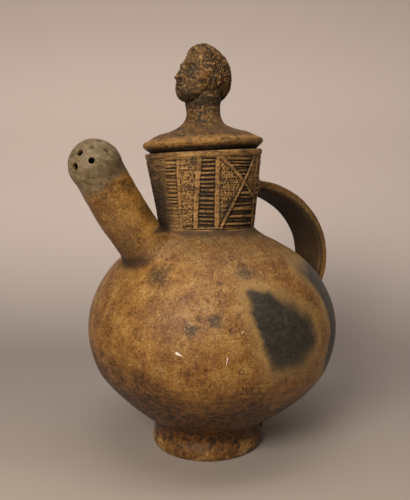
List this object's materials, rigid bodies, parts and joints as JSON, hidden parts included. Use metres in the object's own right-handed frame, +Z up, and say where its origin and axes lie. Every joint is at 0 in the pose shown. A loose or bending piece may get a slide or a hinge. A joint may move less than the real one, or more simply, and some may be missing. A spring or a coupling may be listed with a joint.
{
  "type": "jug",
  "caption": "Hand-built terracotta pouring jug with a round belly, carved neck, strap handle, pierced domed spout and a lift-off lid with a head for a knob.",
  "frame": {"origin": "on the ground, at the middle of the object's footprint", "axes": "+Z up, the spout points to -X and the handle to +X, and the object is the same on both sides of the XZ plane"},
  "size_m": [0.249, 0.21, 0.3343],
  "materials": {
    "jug_clay": "burnished fired clay with fire clouds",
    "lid_clay": "burnished fired clay, darkened by soot"
  },
  "bodies": {
    "root": {"jug": "jug_clay", "lid": "lid_clay"}
  },
  "joints": []
}
